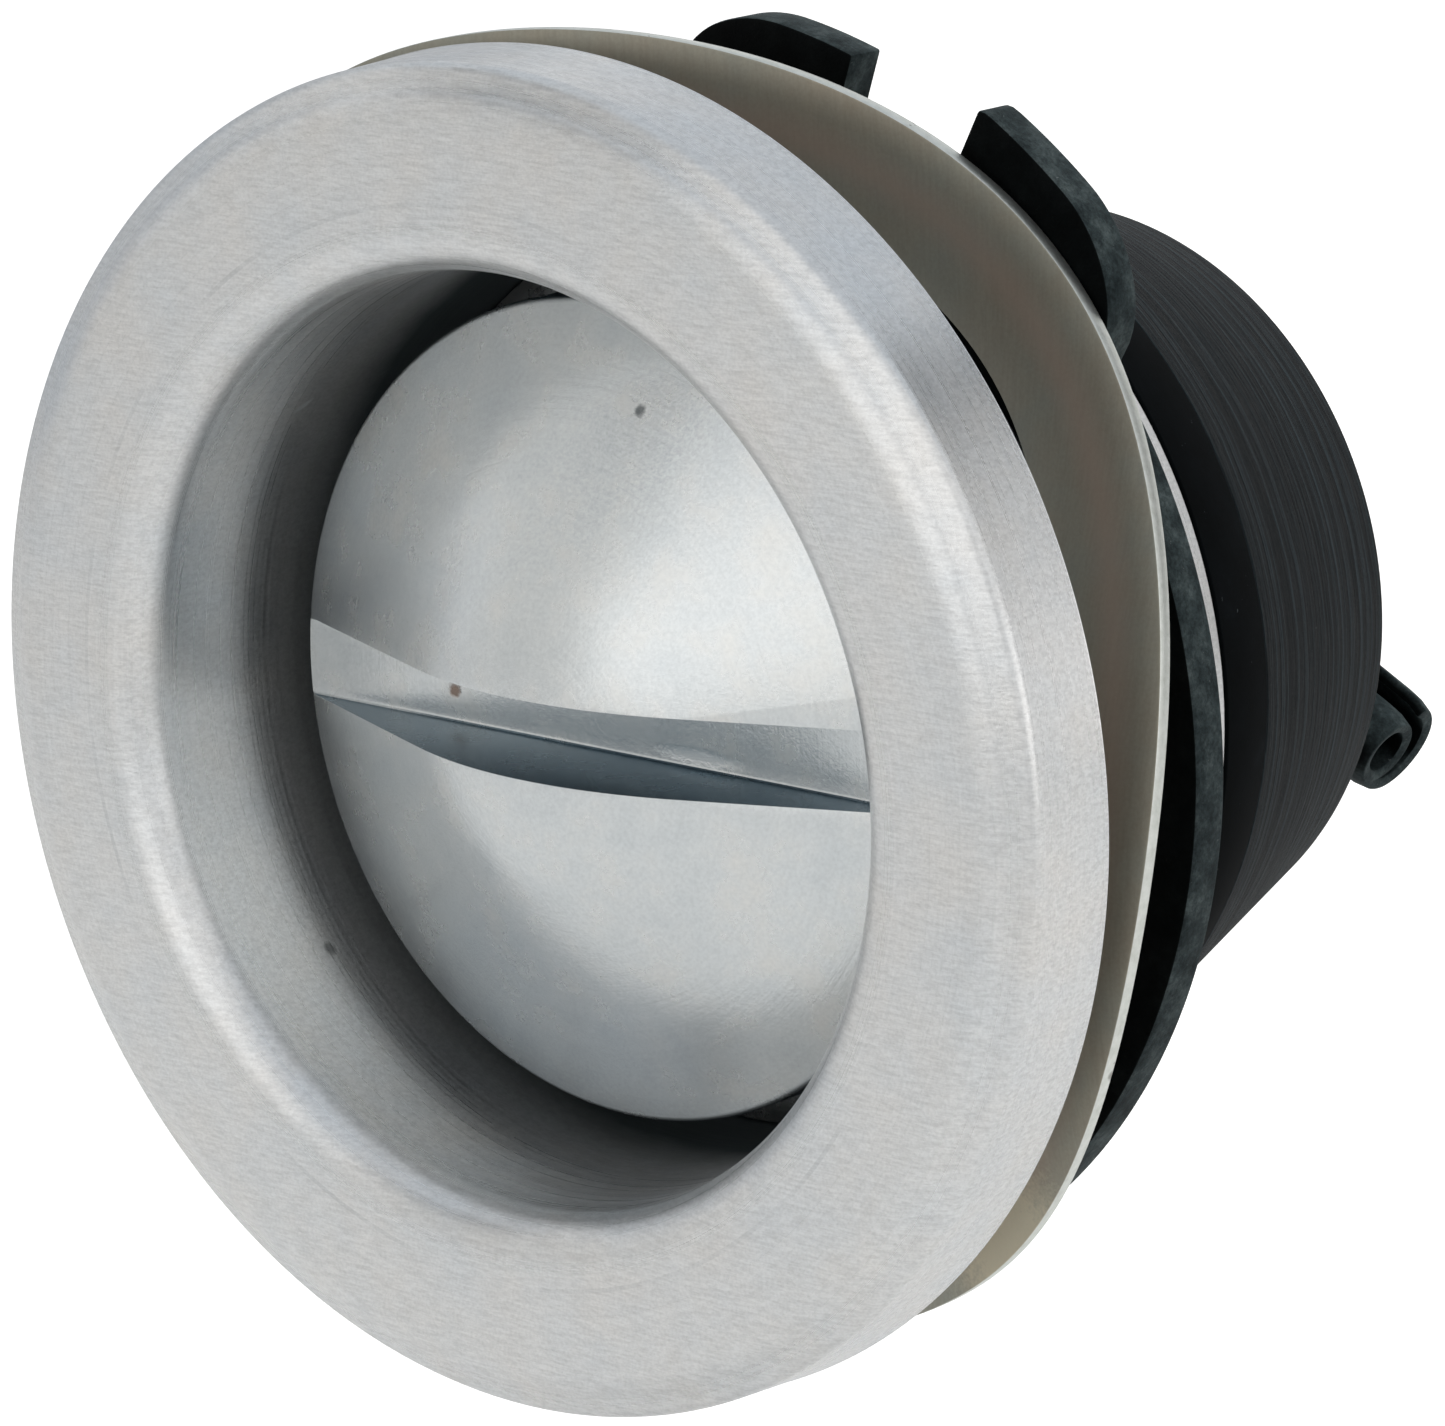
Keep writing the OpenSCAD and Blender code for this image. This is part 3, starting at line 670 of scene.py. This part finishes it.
def blackened_steel():
    """Spring steel blackened in a hot phosphate bath: a matt charcoal skin with a fine crystal
    grain and small pale specks. Faces that look to the front are painted near black, as painted
    shade."""
    made, tree = blank_finish("phosphated_black_steel")
    place = in_mm(tree)
    crystals = put(tree, "TexNoise", Vector=place, Scale=7.0, Detail=4.0, Roughness=0.75)
    cloud = put(tree, "TexNoise", Vector=place, Scale=0.9, Detail=5.0, Roughness=0.7)
    specks = put(tree, "TexNoise", Vector=place, Scale=4.2, Detail=3.0, Roughness=0.85)
    specks = put(tree, "ValToRGB", specks, stops=[(0.68, 0.0), (0.73, 0.4)])
    colour = put(
        tree, "ValToRGB", cloud, stops=[(0.3, "#1d2527"), (0.5, "#3a4446"), (0.7, "#5a6566")]
    )
    colour = darkened(tree, colour, 0.5, crystals, (0.38, 0.1), (0.62, 1.0))
    colour = covered(tree, colour, specks, "#8d9494")
    # painted shade: faces that look to the front, along -Y, are darkened to near black
    front_facing = put(tree, "SeparateXYZ", put(tree, "NewGeometry", out="Normal"), out="Y")
    front_facing = put(tree, "Math", front_facing, -1.0, operation="MULTIPLY")
    painted_front_shade = put(tree, "ValToRGB", front_facing, stops=[(0.75, 0.0), (0.95, 0.94)])
    colour = covered(tree, colour, painted_front_shade, "#010202")
    rough = put(tree, "MapRange", crystals, 0.3, 0.7, 0.5, 0.66)
    return coated(
        made, tree, colour, (crystals, 0.45, 0.06), Metallic=0.0, Roughness=rough,
        Specular_IOR_Level=0.04,
    )


black_steel = blackened_steel()
give(ring, black_steel)
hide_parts("retaining_ring")
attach(ring, "housing")

# ----------------------------------------------------------------------
# Collar: a smooth moulded rubber ring, squeezed between the sleeve's end and the drum's shoulder.
drum_lo, drum_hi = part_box("drum")
collar_end, drum_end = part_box("collar")[1].y / mm, drum_hi.y / mm
cone_front, drum_end_r = sleeve_r + 0.05, 12.29
cone_fall = (cone_front - drum_end_r) / (drum_end - sleeve_end)
collar_bore = 13.4


def cone_at(depth):
    """The radius, at that depth, of the cone that the collar and the drum share."""
    return cone_front - cone_fall * (depth - sleeve_end)


collar = turn_on_lathe(
    "collar_rubber",
    [
        (collar_bore, sleeve_end), (cone_front, sleeve_end),
        (cone_at(collar_end), collar_end), (collar_bore, collar_end),
    ],
    steps=256,
    roundings=[(cone_front, sleeve_end, 0.14, 3), (cone_at(collar_end), collar_end, 0.1, 3)],
)
smooth(collar, 40)


def moulded_rubber():
    """Black nitrile rubber moulded in a polished tool: smooth, nearly black, with a broad dull
    sheen and a trace of pale bloom."""
    made, tree = blank_finish("moulded_black_rubber")
    place = in_mm(tree)
    bloom = put(tree, "TexNoise", Vector=place, Scale=0.5, Detail=5.0, Roughness=0.65)
    skin = put(tree, "TexNoise", Vector=place, Scale=7.0, Detail=3.0, Roughness=0.6)
    specks = put(tree, "TexNoise", Vector=place, Scale=3.0, Detail=3.0, Roughness=0.85)
    specks = put(tree, "ValToRGB", specks, stops=[(0.71, 0.0), (0.75, 0.35)])
    colour = put(
        tree, "ValToRGB", bloom, stops=[(0.35, "#040607"), (0.6, "#070a0c"), (0.78, "#0e1215")]
    )
    colour = darkened(tree, colour, 0.3, skin, (0.35, 0.4), (0.62, 1.0))
    colour = covered(tree, colour, specks, "#7b8486")
    return coated(
        made, tree, colour, (skin, 0.15, 0.03), Metallic=0.0, Roughness=0.85,
        Specular_IOR_Level=0.03,
    )


rubber = moulded_rubber()
give(collar, rubber)
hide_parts("collar")
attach(collar, "housing")

# ----------------------------------------------------------------------
# Drum: turned from aluminium bar with a coarse feed and anodised black. Its spigot screws into
# the sleeve, its neck carries the collar, and its hub carries both bushes.
spigot_front, spigot_r, neck_r = drum_lo.y / mm, pocket_r - 0.05, collar_bore - 0.01
hub_y, hub_r, spring_floor, recess_r, drum_bore = 14.4, 9.4, 16.0, 11.8, 6.5
seal_groove_r, seal_from, seal_to = 13.08, 9.95, 11.55
drum = turn_on_lathe(
    "drum_black_turned",
    [
        (recess_r, spigot_front), (spigot_r, spigot_front), (spigot_r, seal_from),
        (seal_groove_r, seal_from), (seal_groove_r, seal_to), (spigot_r, seal_to),
        (spigot_r, sleeve_end), (neck_r, sleeve_end), (neck_r, collar_end),
        (cone_at(collar_end), collar_end), (drum_end_r, drum_end), (drum_bore, drum_end),
        (drum_bore, hub_y), (hub_r, hub_y), (hub_r, spring_floor), (recess_r, spring_floor),
    ],
    steps=288,
    roundings=[
        (cone_at(collar_end), collar_end, 0.12, 3), (drum_end_r, drum_end, 0.34, 4),
        (drum_bore, drum_end, 0.2, 2), (hub_r, hub_y, 0.15, 2),
    ],
)
smooth(drum)


def black_anodised():
    """Aluminium turned with a coarse feed and anodised black: a dark blue-grey skin whose ridges,
    0.3 mm wide and finer, run round the axis, streaked and mottled, with a few pale rubs."""
    made, tree = blank_finish("black_anodised_turning")
    place = in_mm(tree)
    radius, depth = on_lathe(tree, place)
    # the feed's ridges wander a little as they go round
    wander = put(tree, "TexNoise", Vector=place, Scale=0.35, Detail=3.0)
    ridge_at = put(tree, "Math", wander, 0.3, depth, operation="MULTIPLY_ADD")
    ridge_at = put(tree, "CombineXYZ", ridge_at, radius)
    ridges = put(tree, "TexNoise", Vector=ridge_at, Scale=3.4, Detail=5.0, Roughness=0.75)
    streaked = put(tree, "Mapping", Vector=place, Scale=(0.45, 4.5, 0.45))
    streaks = put(tree, "TexNoise", Vector=streaked, Scale=1.0, Detail=5.0, Roughness=0.75)
    mottle = put(tree, "TexNoise", Vector=place, Scale=6.0, Detail=3.0, Roughness=0.7)
    colour = put(
        tree, "ValToRGB", ridges, stops=[(0.34, "#04080a"), (0.5, "#141a1d"), (0.64, "#333d42")]
    )
    colour = darkened(tree, colour, 0.6, streaks, (0.36, 0.15), (0.62, 1.0))
    colour = darkened(tree, colour, 0.35, mottle, (0.35, 0.3), (0.62, 1.0))
    rubs = put(tree, "TexNoise", Vector=place, Scale=2.2, Detail=4.0, Roughness=0.85)
    rubs = put(tree, "ValToRGB", rubs, stops=[(0.7, 0.0), (0.76, 0.45)])
    colour = covered(tree, colour, rubs, "#868e90")
    rough = put(tree, "MapRange", streaks, 0.3, 0.7, 0.55, 0.75)
    height = put(tree, "Math", streaks, 0.6, ridges, operation="MULTIPLY_ADD")
    return coated(
        made, tree, colour, (height, 0.9, 0.16), Metallic=0.0, Roughness=rough,
        Specular_IOR_Level=0.1,
    )


give(drum, black_anodised())
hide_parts("drum")
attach(drum, "housing")

# ----------------------------------------------------------------------
# Cross pin: a coiled spring pin, rolled from blackened strip and driven through the spindle.
# Inside the spindle its turns lie close; at its free ends the outer turn has sprung away.
pin_lo, pin_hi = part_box("cross_pin")
pin_angle, pin_y, pin_half, pin_r = radians(-28.2), (pin_lo.y + pin_hi.y) / 2 / mm, 11.4, 1.72
strip_thick, strip_edge = 0.4, 0.07
# the roll's radii at the middle of the strip, and how far its turns have sprung to the rear
inner_r, inner_set, outer_r, outer_set = 1.1, 0.38, 1.62, 0.9
close_r = pin_r - strip_thick / 2
roll_from, roll_to, lap_from, lap_to = radians(-165), radians(430), radians(150), radians(290)
spring_from, spring_to = 5.3, 7.6
mouth_drop, mouth_over = 0.16, 0.7
along = Vector((cos(pin_angle), 0, sin(pin_angle)))
rearward = Vector((0, 1, 0))
sideways = along.cross(rearward)
put_down()
bpy.ops.mesh.primitive_grid_add(x_subdivisions=110, y_subdivisions=44, size=2)
pin = bpy.context.object
pin.name = pin.data.name = "cross_pin_coiled"
for vertex in pin.data.vertices:
    # x runs round the roll from inside to outside, y along the pin
    reach = vertex.co.y * pin_half
    angle = roll_from + (vertex.co.x + 1) / 2 * (roll_to - roll_from)
    lapped, sprung = ease(angle, lap_from, lap_to), ease(abs(reach), spring_from, spring_to)
    turn_r = inner_r + lapped * (close_r - inner_r + (outer_r - close_r) * sprung)
    turn_r -= mouth_drop * ease(abs(reach), pin_half - mouth_over, pin_half)
    offset = (inner_set + (outer_set - inner_set) * lapped) * sprung
    place = rearward * (pin_y + offset + turn_r * cos(angle)) + sideways * turn_r * sin(angle)
    vertex.co = (place + along * reach) * mm
thicken(pin, strip_thick * mm)
round_edges(pin, strip_edge)
give(pin, black_steel)
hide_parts("cross_pin")
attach(pin, "rotor")

# ----------------------------------------------------------------------
# Spindle, dowels, spring, lock ring and seat: ground or drawn bright steel inside the body.
# The spindle's rear end carries the cross pin and shows from behind.


def ground_steel():
    """Steel ground between centres: a bright cool grey with very fine rings and a sharp gloss."""
    made, tree = blank_finish("ground_bright_steel")
    place = in_mm(tree)
    radius, depth = on_lathe(tree, place)
    rings_at = put(tree, "CombineXYZ", radius, depth)
    rings = put(tree, "TexNoise", Vector=rings_at, Scale=9.0, Detail=3.0, Roughness=0.7)
    stains = put(tree, "TexNoise", Vector=place, Scale=0.6, Detail=4.0, Roughness=0.65)
    colour = put(
        tree, "ValToRGB", stains, stops=[(0.3, "#9b9fa0"), (0.55, "#b1b4b5"), (0.75, "#bfc1c2")]
    )
    colour = darkened(tree, colour, 0.2, rings, (0.3, 0.3), (0.7, 1.0))
    rough = put(tree, "MapRange", stains, 0.3, 0.7, 0.2, 0.34)
    return coated(made, tree, colour, (rings, 0.18, 0.04), Metallic=1.0, Roughness=rough)


def refinish(material, *names):
    """Gives a CAD node that keeps its own mesh a new finish in each of its slots."""
    for name in names:
        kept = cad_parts[name]
        if not kept.data.materials:
            kept.data.materials.append(material)
        for i in range(len(kept.data.materials)):
            kept.data.materials[i] = material


refinish(
    ground_steel(),
    "spindle", "plug_pin", "stop_pin", "lock_ring", "return_spring", "spring_seat",
)
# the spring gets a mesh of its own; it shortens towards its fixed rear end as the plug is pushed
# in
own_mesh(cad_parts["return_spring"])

# ----------------------------------------------------------------------
# Bushes: sintered bronze, pressed into the drum from each end.


def sintered_bronze():
    """Oil-filled sintered bronze: a dull golden brown with fine open pores."""
    made, tree = blank_finish("sintered_bronze")
    pores = put(tree, "TexNoise", Vector=in_mm(tree), Scale=7.0, Detail=3.0, Roughness=0.8)
    colour = put(
        tree, "ValToRGB", pores, stops=[(0.32, "#5a3f22"), (0.45, "#9a7444"), (0.7, "#b38c58")]
    )
    return coated(made, tree, colour, (pores, 0.3, 0.04), Metallic=1.0, Roughness=0.45)


refinish(sintered_bronze(), "front_bush", "rear_bush")

# ----------------------------------------------------------------------
# Seals and the thrust washer: black rubber O-rings, and a nylon washer under the cross pin.


def moulded_nylon():
    """Black nylon with a satin moulded skin and faint flow marks."""
    made, tree = blank_finish("moulded_black_nylon")
    flow = put(tree, "TexNoise", Vector=in_mm(tree), Scale=0.9, Detail=5.0, Roughness=0.65)
    colour = put(tree, "ValToRGB", flow, stops=[(0.35, "#1b1d1e"), (0.7, "#2b2e30")])
    return coated(
        made, tree, colour, (flow, 0.15, 0.04), Metallic=0.0, Roughness=0.5,
        Specular_IOR_Level=0.35,
    )


def copied_from_cad(name, node_name):
    """A copy of a CAD node's mesh, joined up and freed of the lines across its flat faces."""
    made = bpy.data.objects.new(name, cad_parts[node_name].data.copy())
    bpy.context.scene.collection.objects.link(made)
    made.data.name = name
    take_up(made)
    bpy.ops.object.mode_set(mode="EDIT")
    bpy.ops.mesh.select_all(action="SELECT")
    bpy.ops.mesh.remove_doubles(threshold=1e-6)
    bpy.ops.mesh.dissolve_limited(angle_limit=radians(0.4))
    bpy.ops.object.mode_set(mode="OBJECT")
    return made


thrust_edge = 0.18
refinish(rubber, "spigot_seal", "spindle_seals")
thrust_washer = copied_from_cad("thrust_washer_nylon", "rear_washer")
round_edges(thrust_washer, thrust_edge, 3)
give(thrust_washer, moulded_nylon())
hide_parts("rear_washer")
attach(thrust_washer, "housing")

# ----------------------------------------------------------------------
# Stage: a plain white floor below the fastener, soft lamps in a white tent, and grey cards that
# show in reflections only, for the tent's duller sides and the photographer's own shape.
floor_z, floor_size, floor_glow, mirrored_glow = -62 * mm, 3.0, 0.75, 0.32
tent_light, tent_seen = 0.35, 1.0


def seen_by(tree, *rays):
    """1 for these kinds of ray, and 0 for the others."""
    seen = put(tree, "LightPath", out=rays[0])
    for kind in rays[1:]:
        seen = put(tree, "Math", seen, put(tree, "LightPath", out=kind), operation="MAXIMUM")
    return seen


put_down()
bpy.ops.mesh.primitive_plane_add(size=floor_size, location=(0, 0, floor_z))
floor = bpy.context.object
floor.name = "floor"
bpy.ops.object.transform_apply(location=True, rotation=True, scale=True)
made, tree = blank_finish("white_paper_floor")
# it looks white to the camera, and duller in reflections
glow = share_of(tree, seen_by(tree, "Is Glossy Ray", "Is Transmission Ray"), mirrored_glow)
viewed = seen_by(tree, "Is Camera Ray")
glow = put(tree, "Math", viewed, floor_glow, glow, operation="MULTIPLY_ADD")
glow = put(tree, "Emission", Color=(1, 1, 1, 1), Strength=glow)
paper = put(
    tree, "BsdfPrincipled", Base_Color=plain("#e9e9e8"), Roughness=0.9, Specular_IOR_Level=0.2
)
put(tree, "OutputMaterial", put(tree, "AddShader", paper, glow))
floor.data.materials.append(made)


def hang_card(name, towards, distance, size, grey, tint=(1, 1, 1)):
    """A card that faces the fastener from that direction and shows only in reflections."""
    put_down()
    bpy.ops.mesh.primitive_plane_add(size=1)
    card = bpy.context.object
    card.name = name
    place = Vector(towards).normalized() * distance
    turn = (-place).to_track_quat("Z", "Y").to_matrix().to_4x4()
    spread = Matrix.Diagonal((size[0], size[1], 1, 1))
    card.data.transform(Matrix.Translation(place) @ turn @ spread)
    made, tree = blank_finish(name)
    colour = (grey * tint[0], grey * tint[1], grey * tint[2], 1)
    put(tree, "OutputMaterial", put(tree, "Emission", Color=colour, Strength=1.0))
    card.data.materials.append(made)
    card.visible_camera = card.visible_diffuse = False
    card.visible_shadow = card.visible_transmission = False


# name, direction, distance and size in metres, grey and tint
hang_card("roof_card", (-0.05, 0.05, 1), 0.60, (1.3, 1.3), 0.76, (0.94, 0.99, 1.05))
hang_card("left_card", (-1, 0.25, -0.05), 0.62, (0.9, 0.9), 0.62, (0.96, 1.0, 1.05))
hang_card("front_left_card", (-0.62, -0.75, -0.1), 0.66, (0.55, 0.9), 0.76, (1.01, 1.0, 0.98))
hang_card("dark_gap_card", (-0.56, -0.58, 0.60), 0.45, (0.28, 0.06), 0.04)
hang_card("dark_post_card", (0.60, 0.73, 0.40), 0.50, (0.18, 0.46), 0.0)
hang_card("camera_card", (0.63, -0.73, 0.25), 0.40, (0.06, 0.08), 0.3)


def hang_lamp(name, towards, distance, size, power, warmth=(1, 1, 1)):
    """A soft rectangular lamp that faces the fastener from that direction."""
    lamp = bpy.data.lights.new(name, "AREA")
    lamp.shape, lamp.size, lamp.size_y = "RECTANGLE", size[0], size[1]
    lamp.energy, lamp.color = power, warmth
    hung = bpy.data.objects.new(name, lamp)
    bpy.context.scene.collection.objects.link(hung)
    place = Vector(towards).normalized() * distance
    turn = place.to_track_quat("Z", "Y").to_matrix().to_4x4()
    hung.matrix_world = Matrix.Translation(place) @ turn
    return hung


# name, direction, distance and size in metres, power in watts and warmth
hang_lamp("soft_front", (-0.03, -1, 0.12), 0.52, (0.44, 0.32), 0.15, (1.0, 0.97, 0.93))
hang_lamp("soft_right", (1, 0.05, -0.02), 0.50, (0.30, 0.34), 0.18, (1.0, 0.97, 0.93))
top_lamp = hang_lamp("soft_top", (0.25, 0.30, 1), 0.50, (0.40, 0.40), 1.5)
top_lamp.visible_glossy = False

world = bpy.data.worlds.new("white_tent")
world.use_nodes = True
bpy.context.scene.world = world
tree = world.node_tree
tree.nodes.clear()
seen = seen_by(tree, "Is Camera Ray", "Is Glossy Ray", "Is Transmission Ray")
strength = put(tree, "MapRange", seen, 0.0, 1.0, tent_light, tent_seen)
put(tree, "OutputWorld", put(tree, "Background", Color=(1, 1, 1, 1), Strength=strength))
bpy.context.scene.view_settings.view_transform = "Standard"

# ----------------------------------------------------------------------
# Points: where each thing shows in the photograph's frame, by its finished vertices that the
# camera sees, and how many of the photograph's pixels it lies from its point.
shown = [bezel, plug, washer, ring, collar, drum, pin, thrust_washer]
shown += [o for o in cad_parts.values() if not o.hide_render]
every_vertex, every_face = [], []
for piece in shown:
    start = len(every_vertex)
    every_vertex += [v.co.copy() for v in piece.data.vertices]
    every_face += [[start + i for i in p.vertices] for p in piece.data.polygons]
skin_of_all = BVHTree.FromPolygons(every_vertex, every_face)
slot_end_x = (plug_r**2 - half_slot**2) ** 0.5
own_skin = 0.12


def in_photo(place):
    """The photograph's pixel where a place shows."""
    local = looking.transposed() @ (place - camera_place)
    scale = photo_long * camera_lens / camera_sensor / -local.z
    return photo_width / 2 + local.x * scale, photo_height / 2 - local.y * scale


def in_view(place):
    """Whether nothing but the place's own skin lies before it."""
    ray = place - camera_place
    met = skin_of_all.ray_cast(camera_place, ray.normalized(), ray.length + mm)
    return met[0] is not None and ray.length - met[3] < own_skin * mm


def off_by(name, spot):
    x, y = photographed[name]
    return [round(spot[0] - x, 1), round(spot[1] - y, 1)]


def end_off_by(values, wanted):
    """How far the nearer end of the values lies from the wanted one."""
    return round(min(min(values) - wanted, max(values) - wanted, key=abs), 1)


def offset_of(name, piece, wanted=lambda v: True):
    """How far the thing shows from its point: an edge by its end, a spot by its nearest vertex."""
    x, y = photographed[name]
    places = [v.co for v in piece.data.vertices if wanted(v.co)]
    spots = [in_photo(v) for v in places if in_view(v)] or [in_photo(v) for v in places]
    if not spots:
        return None
    if y is None:
        return [end_off_by([s[0] for s in spots], x), None]
    if x is None:
        return [None, end_off_by([s[1] for s in spots], y)]
    return off_by(name, min(spots, key=lambda s: hypot(s[0] - x, s[1] - y)))


def on_circle(radius, depth, reach=0.16):
    return lambda v: abs(hypot(v.x, v.z) / mm - radius) < reach and abs(v.y / mm - depth) < reach


def beyond(radius, lift=0.0):
    return lambda v: hypot(v.x, v.z - lift * mm) > radius * mm


def slot_corner(side, wall):
    corner = Vector((side * slot_end_x, slot_floor, wall * half_slot)) * mm
    return lambda v: (v - corner).length < 0.5 * mm


pin_mouth = (rearward * pin_y + along * pin_half) * mm
points = {
    "flange_left": offset_of("flange_left", bezel),
    "pin_right": offset_of("pin_right", pin),
    "lug_top": offset_of("lug_top", ring),
    "flange_bottom": offset_of("flange_bottom", bezel),
    "near_lug_tip": offset_of("near_lug_tip", ring, beyond(ring_body + near_rise - 0.3)),
    "slot_left_lower": offset_of("slot_left_lower", plug, slot_corner(-1, -1)),
    "slot_right_upper": offset_of("slot_right_upper", plug, slot_corner(1, 1)),
    "slot_right_lower": offset_of("slot_right_lower", plug, slot_corner(1, -1)),
    "washer_front_edge": offset_of("washer_front_edge", washer, beyond(washer_r - 0.1, wave_lift)),
    "ring_front_edge": offset_of("ring_front_edge", ring, lambda v: v.y < ring_lo.y + 0.12 * mm),
    "collar_joint": offset_of("collar_joint", collar, on_circle(cone_at(collar_end), collar_end)),
    "drum_rear_edge": offset_of("drum_rear_edge", drum, on_circle(drum_end_r, drum_end, 0.4)),
    "pin_hole": off_by("pin_hole", in_photo(pin_mouth)),
}
for name, carrier in (
    ("rust_speck", plug), ("dome_nick", plug), ("slot_burr", plug),
    ("edge_nick", washer), ("tan_patch", washer), ("bore_scratch", bezel), ("bore_nick", bezel),
):
    points[name] = off_by(name, in_photo(seen_through(name, carrier)))
